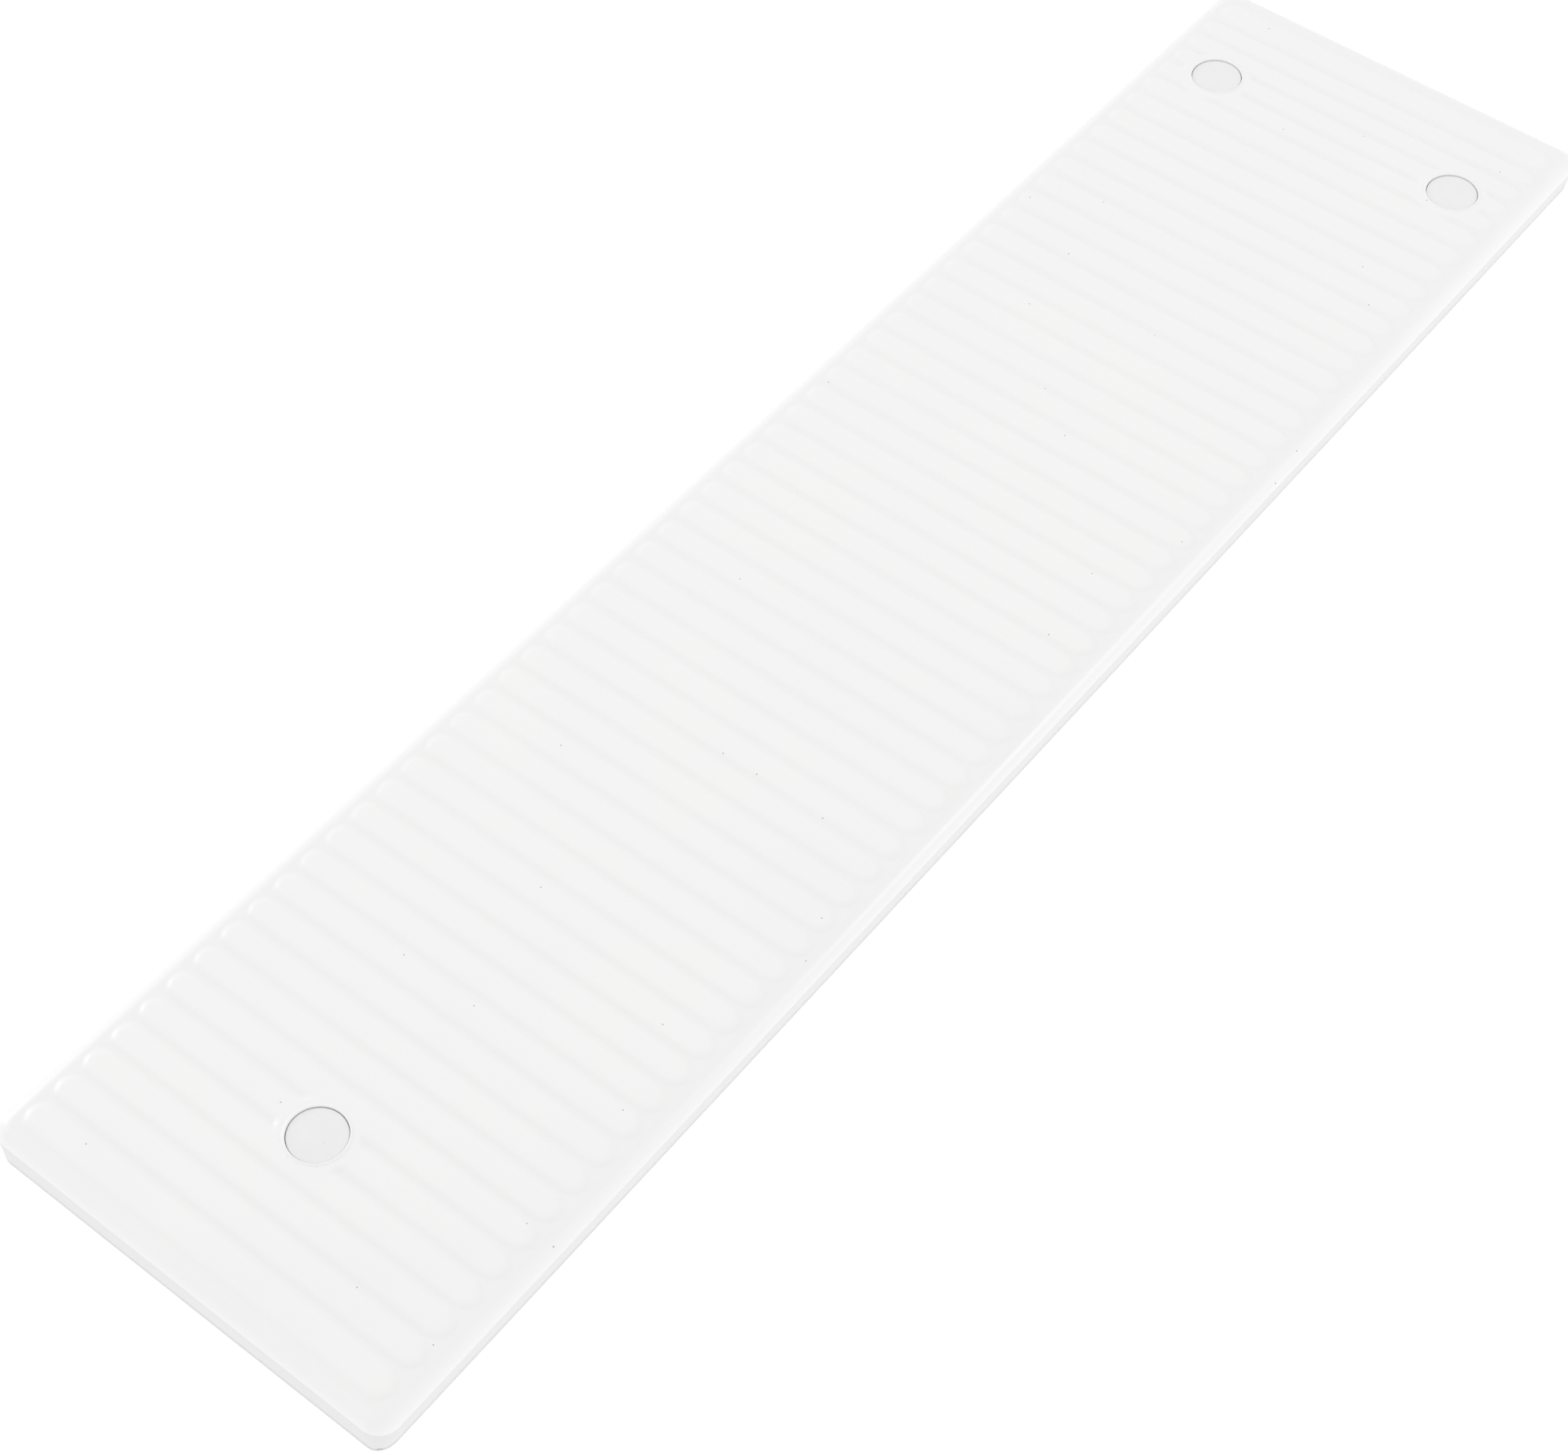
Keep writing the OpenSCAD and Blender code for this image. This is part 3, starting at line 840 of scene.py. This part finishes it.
def new_group(name, inputs, outputs):
    """A shader node group with (name, kind, default) inputs and (name, kind) outputs."""
    group = bpy.data.node_groups.new(name, "ShaderNodeTree")
    for label, kind, default in inputs:
        socket = group.interface.new_socket(label, in_out="INPUT", socket_type="NodeSocket" + kind)
        if default is not None:
            socket.default_value = default
    for label, kind in outputs:
        group.interface.new_socket(label, in_out="OUTPUT", socket_type="NodeSocket" + kind)
    given = group.nodes.new("NodeGroupInput").outputs
    result = group.nodes.new("NodeGroupOutput").inputs
    return group, given, result


def use_group(tree, group, **inputs):
    """Places a group in a material and returns its outputs."""
    placed = tree.nodes.new("ShaderNodeGroup")
    placed.node_tree = group
    for key, value in inputs.items():
        feed(tree, placed.inputs[key.replace("_", " ")], value)
    return placed.outputs


# %% Moulded skin: a slow ripple and a fine grain
moulded_skin, given, result = new_group(
    "moulded skin",
    [("Vector", "Vector", None), ("Ripple Scale", "Float", 12.0), ("Grain Scale", "Float", 900.0),
     ("Dull", "Float", 0.4), ("Spread", "Float", 0.05)],
    [("Height", "Float"), ("Roughness", "Float"), ("Cloud", "Float")],
)
ripple = cloud(moulded_skin, given["Vector"], given["Ripple Scale"])
grain = cloud(moulded_skin, given["Vector"], given["Grain Scale"], 4)
faint_grain = maths(moulded_skin, "MULTIPLY", grain, 0.35)
feed(moulded_skin, result["Height"], maths(moulded_skin, "ADD", ripple, faint_grain))
both = maths(
    moulded_skin, "ADD",
    ramp(moulded_skin, ripple, 0.3, 0.7, -1, 1),
    ramp(moulded_skin, grain, 0.3, 0.7, -0.5, 0.5),
)
change = maths(moulded_skin, "MULTIPLY", given["Spread"], both)
feed(moulded_skin, result["Roughness"], maths(moulded_skin, "ADD", given["Dull"], change))
feed(moulded_skin, result["Cloud"], ramp(moulded_skin, ripple, 0.35, 0.65))

# %% Specks: a few small dots seen from above, one in some cells of a Voronoi pattern
specks, given, result = new_group(
    "specks",
    [("Vector", "Vector", None), ("Scale", "Float", 60.0), ("Size", "Float", 0.05),
     ("Share", "Float", 0.1), ("Colour", "Color", None), ("Speck Colour", "Color", None)],
    [("Colour", "Color")],
)
cells = node(
    specks, "TexVoronoi", {"Vector": given["Vector"], "Scale": given["Scale"]},
    voronoi_dimensions="2D",
)
chosen = node(specks, "SeparateColor", {0: cells.outputs["Color"]}).outputs[0]
is_chosen = maths(specks, "LESS_THAN", chosen, given["Share"])
is_near = maths(specks, "LESS_THAN", cells.outputs["Distance"], given["Size"])
dot = maths(specks, "MULTIPLY", is_chosen, is_near)
feed(specks, result["Colour"], mix(specks, dot, given["Colour"], given["Speck Colour"]))

# %% Settled dirt and painted shade: a tint where the mask allows, broken up in patches
settled_dirt_and_shade, given, result = new_group(
    "settled dirt and painted shade",
    [("Vector", "Vector", None), ("Patch Scale", "Float", 40.0), ("Amount", "Float", 0.5),
     ("Colour", "Color", None), ("Dirt Colour", "Color", None)],
    [("Colour", "Color")],
)
patch_noise = cloud(settled_dirt_and_shade, given["Vector"], given["Patch Scale"], 5)
patches = ramp(settled_dirt_and_shade, patch_noise, 0.3, 0.7, 0.55, 1)
strength = maths(settled_dirt_and_shade, "MULTIPLY", patches, given["Amount"])
dirt_and_shade_tinted = mix(settled_dirt_and_shade, strength, given["Colour"], given["Dirt Colour"])
feed(settled_dirt_and_shade, result["Colour"], dirt_and_shade_tinted)

# %% Wood grain: growth rings drawn out along X, with fine pores
wood_grain, given, result = new_group(
    "wood grain",
    [("Vector", "Vector", None), ("Ring Scale", "Float", 90.0),
     ("Early", "Color", None), ("Late", "Color", None)],
    [("Colour", "Color"), ("Height", "Float")],
)
drawn_out = mapped(wood_grain, given["Vector"], scale=(0.05, 1, 1))
rings = node(
    wood_grain, "TexWave",
    {
        "Vector": drawn_out, "Scale": given["Ring Scale"],
        "Distortion": 5.0, "Detail": 3.0, "Detail Scale": 0.4,
    },
    wave_type="BANDS", bands_direction="DIAGONAL",
).outputs["Fac"]
pores = cloud(wood_grain, drawn_out, 1400.0, 3)
ring_colour = mix(wood_grain, ramp(wood_grain, rings, 0.25, 0.95), given["Early"], given["Late"])
pore_shade = ramp(wood_grain, pores, 0.35, 0.65, 0.82, 1.05)
shaded = node(wood_grain, "VectorMath", {0: ring_colour, "Scale": pore_shade}, operation="SCALE")
feed(wood_grain, result["Colour"], shaded.outputs[0])
feed(wood_grain, result["Height"], pores)
print("node groups:", [group.name for group in bpy.data.node_groups])

# %% [markdown]
# ## Finishes
# Each finish has a short cell of its own. Numbers that are the same all over a surface, such as
# the clear coat of the acrylic, are set straight on the shader. Only what changes over the surface
# comes through nodes: colour, roughness and the height that a bump node reads.

# %% Material helpers
def grey(level):
    """A colour with no tint."""
    return (level, level, level, 1)


def new_material(name, colour, roughness, **constants):
    """A material with its tree, its shader, and the Object coordinates that its patterns read."""
    made = bpy.data.materials.new(name)
    made.use_nodes = True
    tree = made.node_tree
    shader = tree.nodes["Principled BSDF"]
    shader.inputs["Base Color"].default_value = (*colour, 1)
    shader.inputs["Roughness"].default_value = roughness
    for key, value in constants.items():
        shader.inputs[key.replace("_", " ")].default_value = value
    where = node(tree, "TexCoord").outputs["Object"]
    return made, tree, shader.inputs, where


def bump(tree, shader, height, distance, strength=1.0):
    """Feeds a height, worth this many metres, to the shader's normal."""
    made = node(tree, "Bump", {"Height": height, "Distance": distance, "Strength": strength})
    feed(tree, shader["Normal"], made.outputs["Normal"])


# %% Tread acrylic: satin white, with a painted highlight on the shoulders and painted shade on the walls and in the grooves
# The shoulders' lighter grey is a painted highlight.
SHOULDER_PAINTED_HIGHLIGHT = grey(0.935)
# The walls' darker grey is painted shade.
WALL_PAINTED_SHADE = grey(0.795)
SPECK_SHARE = 0.06

tread_acrylic, tree, shader, where = new_material(
    "tread acrylic", (0.87, 0.87, 0.87), 0.36, IOR=1.49, Coat_Weight=0.25, Coat_Roughness=0.16,
)
height = node(tree, "SeparateXYZ", {0: where}).outputs["Z"]
on_wall_skin = ramp(tree, height, CREASE_Z - 1.5 * MM, CREASE_Z + 0.3 * MM, 1, 0)
shoulder_highlight_mask = ramp(tree, height, CREASE_Z, MARGIN_Z - 0.5 * MM, 1, 0)
# Mask for painted shade on the tread's lowest level: the grooves, the feet of the ribs and the level
# margins.
groove_shade_mask = maths(
    tree, "MULTIPLY",
    ramp(tree, height, MARGIN_Z + 0.1 * MM, MARGIN_Z + 1.5 * MM, 1, 0),
    ramp(tree, height, MARGIN_Z - 0.6 * MM, MARGIN_Z - 0.05 * MM),
)
on_top = ramp(tree, height, MARGIN_Z + 1.7 * MM, MARGIN_Z + RIB_H)
skin = use_group(
    tree, moulded_skin, Vector=where,
    Ripple_Scale=9.0, Grain_Scale=700.0, Dull=0.36, Spread=0.04,
)
tone = mix(tree, skin["Cloud"], grey(0.888), (0.896, 0.895, 0.892, 1))
# Painted highlight on the shoulders.
tone = mix(tree, shoulder_highlight_mask, tone, SHOULDER_PAINTED_HIGHLIGHT)
# Painted shade on the walls.
tone = mix(tree, on_wall_skin, tone, WALL_PAINTED_SHADE)
# The grey tint mixed in here is painted shade on that lowest level.
dirt_and_shade_tinted = use_group(
    tree, settled_dirt_and_shade, Vector=where, Patch_Scale=14.0, Amount=groove_shade_mask,
    Colour=tone, Dirt_Colour=(0.874, 0.874, 0.871, 1),
)["Colour"]
speck_share = ramp(tree, on_wall_skin, 0, 0.2, SPECK_SHARE, 0)
spotted = use_group(
    tree, specks, Vector=where, Scale=24.0, Size=0.017, Share=speck_share,
    Colour=dirt_and_shade_tinted, Speck_Colour=(0.5, 0.49, 0.47, 1),
)["Colour"]
feed(tree, shader["Base Color"], spotted)
worn = maths(tree, "MULTIPLY", on_top, 0.06)
feed(tree, shader["Roughness"], maths(tree, "ADD", skin["Roughness"], worn))
bump(tree, shader, skin["Height"], 0.06 * MM, 0.5)

# %% Base acrylic: plain white skin with more ripple and a little yard dirt
base_acrylic, tree, shader, where = new_material("base acrylic", (0.80, 0.80, 0.79), 0.42, IOR=1.49)
skin = use_group(
    tree, moulded_skin, Vector=where,
    Ripple_Scale=22.0, Grain_Scale=500.0, Dull=0.42, Spread=0.07,
)
amount = ramp(tree, skin["Cloud"], 0.4, 1, 0, 0.5)
dirt_and_shade_tinted = use_group(
    tree, settled_dirt_and_shade, Vector=where, Patch_Scale=6.0, Amount=amount,
    Colour=(0.82, 0.82, 0.81, 1), Dirt_Colour=(0.76, 0.755, 0.74, 1),
)["Colour"]
feed(tree, shader["Base Color"], dirt_and_shade_tinted)
feed(tree, shader["Roughness"], skin["Roughness"])
bump(tree, shader, skin["Height"], 0.15 * MM, 0.6)

# %% Cover plastic: slightly greyer than the tread, with a fine even grain
cover_plastic, tree, shader, where = new_material("cover plastic", (0.80, 0.80, 0.80), 0.48)
skin = use_group(
    tree, moulded_skin, Vector=where,
    Ripple_Scale=60.0, Grain_Scale=1800.0, Dull=0.48, Spread=0.04,
)
tone = mix(tree, skin["Cloud"], grey(0.836), (0.85, 0.849, 0.847, 1))
spotted = use_group(
    tree, specks, Vector=where, Scale=110.0, Size=0.05, Share=0.02,
    Colour=tone, Speck_Colour=grey(0.6),
)["Colour"]
feed(tree, shader["Base Color"], spotted)
feed(tree, shader["Roughness"], skin["Roughness"])
bump(tree, shader, skin["Height"], 0.03 * MM, 0.7)

# %% Sealant: grey polyurethane, matt and uneven
sealant, tree, shader, where = new_material("sealant", (0.3, 0.3, 0.3), 0.6)
skin = use_group(
    tree, moulded_skin, Vector=where,
    Ripple_Scale=90.0, Grain_Scale=600.0, Dull=0.6, Spread=0.08,
)
feed(tree, shader["Base Color"], mix(tree, skin["Cloud"], (0.26, 0.26, 0.265, 1), grey(0.36)))
feed(tree, shader["Roughness"], skin["Roughness"])
bump(tree, shader, skin["Height"], 0.2 * MM)

# %% Rubber: near black, dusty, with a fine tooth
rubber, tree, shader, where = new_material("rubber", (0.03, 0.03, 0.03), 0.7, Specular_IOR_Level=0.4)
skin = use_group(
    tree, moulded_skin, Vector=where,
    Ripple_Scale=70.0, Grain_Scale=1500.0, Dull=0.7, Spread=0.08,
)
dusty = use_group(
    tree, settled_dirt_and_shade, Vector=where, Patch_Scale=50.0, Amount=0.35,
    Colour=(0.028, 0.028, 0.03, 1), Dirt_Colour=(0.16, 0.155, 0.145, 1),
)["Colour"]
feed(tree, shader["Base Color"], dusty)
feed(tree, shader["Roughness"], skin["Roughness"])
bump(tree, shader, skin["Height"], 0.05 * MM)

# %% Stainless steel: fine lines along Z from rolling, and faint water marks
stainless_steel, tree, shader, where = new_material(
    "stainless steel", (0.62, 0.62, 0.63), 0.28, Metallic=1.0,
)
rolled = mapped(tree, where, scale=(1, 1, 0.06))
skin = use_group(
    tree, moulded_skin, Vector=rolled,
    Ripple_Scale=160.0, Grain_Scale=2600.0, Dull=0.27, Spread=0.08,
)
amount = ramp(tree, skin["Cloud"], 0.5, 1, 0, 0.6)
marked = use_group(
    tree, settled_dirt_and_shade, Vector=where, Patch_Scale=120.0, Amount=amount,
    Colour=(0.64, 0.64, 0.65, 1), Dirt_Colour=(0.50, 0.49, 0.47, 1),
)["Colour"]
feed(tree, shader["Base Color"], marked)
feed(tree, shader["Roughness"], skin["Roughness"])
bump(tree, shader, skin["Height"], 0.01 * MM, 0.6)

# %% Fibreglass: chopped strands in cured resin
fibreglass, tree, shader, where = new_material("fibreglass", (0.7, 0.66, 0.5), 0.3, Coat_Weight=0.4)
strands = None
for turn in (15, 62, 118, 164):
    turned = mapped(tree, where, turn, (0.12, 1, 1))
    layer = ramp(tree, cloud(tree, turned, 420.0), 0.55, 0.66)
    strands = layer if strands is None else maths(tree, "MAXIMUM", strands, layer)
strand_colour = mix(tree, strands, (0.58, 0.54, 0.36, 1), (0.84, 0.82, 0.70, 1))
feed(tree, shader["Base Color"], strand_colour)
feed(tree, shader["Roughness"], ramp(tree, strands, 0, 1, 0.28, 0.45))
bump(tree, shader, strands, 0.1 * MM)


# %% Woods: softwood stringers along the board, hardwood blocks across it
def wood(name, early, late, ring_scale, turn):
    """A wood of two ring colours, with its grain turned from X by some degrees."""
    made, tree, shader, where = new_material(name, early, 0.6)
    along = mapped(tree, where, turn)
    grown = use_group(
        tree, wood_grain, Vector=along, Ring_Scale=ring_scale,
        Early=(*early, 1), Late=(*late, 1),
    )
    feed(tree, shader["Base Color"], grown["Colour"])
    feed(tree, shader["Roughness"], ramp(tree, grown["Height"], 0.3, 0.7, 0.52, 0.7))
    bump(tree, shader, grown["Height"], 0.1 * MM)
    return made


stringer_wood = wood("stringer wood", (0.72, 0.52, 0.31), (0.50, 0.29, 0.13), 60.0, 0)
block_wood = wood("block wood", (0.42, 0.25, 0.13), (0.26, 0.13, 0.06), 95.0, 90)
print("materials:", [made.name for made in bpy.data.materials])

# %% [markdown]
# ## Give every piece its finish
# A new piece already knows the record's slot that it takes its finish from. A CAD node's slot is
# in the record's list of sub-parts, so the same table of finishes serves both kinds.

# %% Assign finishes
finish_of = {
    "tread_acrylic": tread_acrylic, "base_acrylic": base_acrylic, "cover_plastic": cover_plastic,
    "sealant": sealant, "fibreglass": fibreglass, "stringer_wood": stringer_wood,
    "block_wood": block_wood, "rubber": rubber, "stainless_steel": stainless_steel,
}
new_pieces = [tread_piece, base_piece, bead_piece, *cover_pieces, *bolt_pieces, *pad_pieces]
for piece in new_pieces:
    piece.data.materials.append(finish_of[piece["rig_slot"]])
for subpart in frame["record"]["subparts"]:
    cad_node = frame["nodes"][subpart["node"]]
    for material_slot in cad_node.material_slots:
        material_slot.material = finish_of[subpart["material_slot"]]
print("finished", len(new_pieces), "new pieces and", len(frame["nodes"]), "CAD nodes")

# %% [markdown]
# ## Floor and light
# The studio is nearly all white: a bright even sky, and a pale floor at the bolts' lower ends. Most
# of the floor's brightness is its own glow, so the board throws next to no shadow on it. Two large
# soft lights, a high one on the right and a low one on the left, are there for the faint shading of
# the ribs and shoulders.

# %% Floor
FLOOR_HALF = 25
FLOOR_GLOW = 0.88
pale, _, shader, _ = new_material(
    "pale floor", (0.15, 0.15, 0.15), 0.9, Specular_IOR_Level=0.0,
)
shader["Emission Color"].default_value = grey(1)
shader["Emission Strength"].default_value = FLOOR_GLOW
floor_bm = bmesh.new()
bmesh.ops.create_grid(floor_bm, x_segments=1, y_segments=1, size=FLOOR_HALF)
bmesh.ops.translate(floor_bm, verts=floor_bm.verts, vec=(0, 0, cad_box[0].z))
floor_mesh = bpy.data.meshes.new("floor")
floor_bm.to_mesh(floor_mesh)
floor_bm.free()
floor_mesh.materials.append(pale)
floor = bpy.data.objects.new("floor", floor_mesh)
bpy.context.scene.collection.objects.link(floor)

# %% Sky and soft light
SKY_STRENGTH = 0.928
world = bpy.data.worlds.new("studio")
bpy.context.scene.world = world
world.use_nodes = True
background = world.node_tree.nodes["Background"].inputs
background["Color"].default_value = grey(1)
background["Strength"].default_value = SKY_STRENGTH


def soft_light(name, place, size, power):
    """A square area light at place that faces the middle of the board."""
    light = bpy.data.lights.new(name, "AREA")
    light.size = size
    light.energy = power
    lamp = bpy.data.objects.new(name, light)
    lamp.location = place
    lamp.rotation_euler = (-Vector(place)).to_track_quat("-Z", "Y").to_euler()
    lamp.visible_camera = False
    bpy.context.scene.collection.objects.link(lamp)


soft_light("high right", (2.2, -3.0, 2.7), 1.2, 14)
soft_light("low left", (-0.7, 3.6, 1.3), 1.4, 22)
print("sky strength", SKY_STRENGTH, "and lights", [light.name for light in bpy.data.lights])
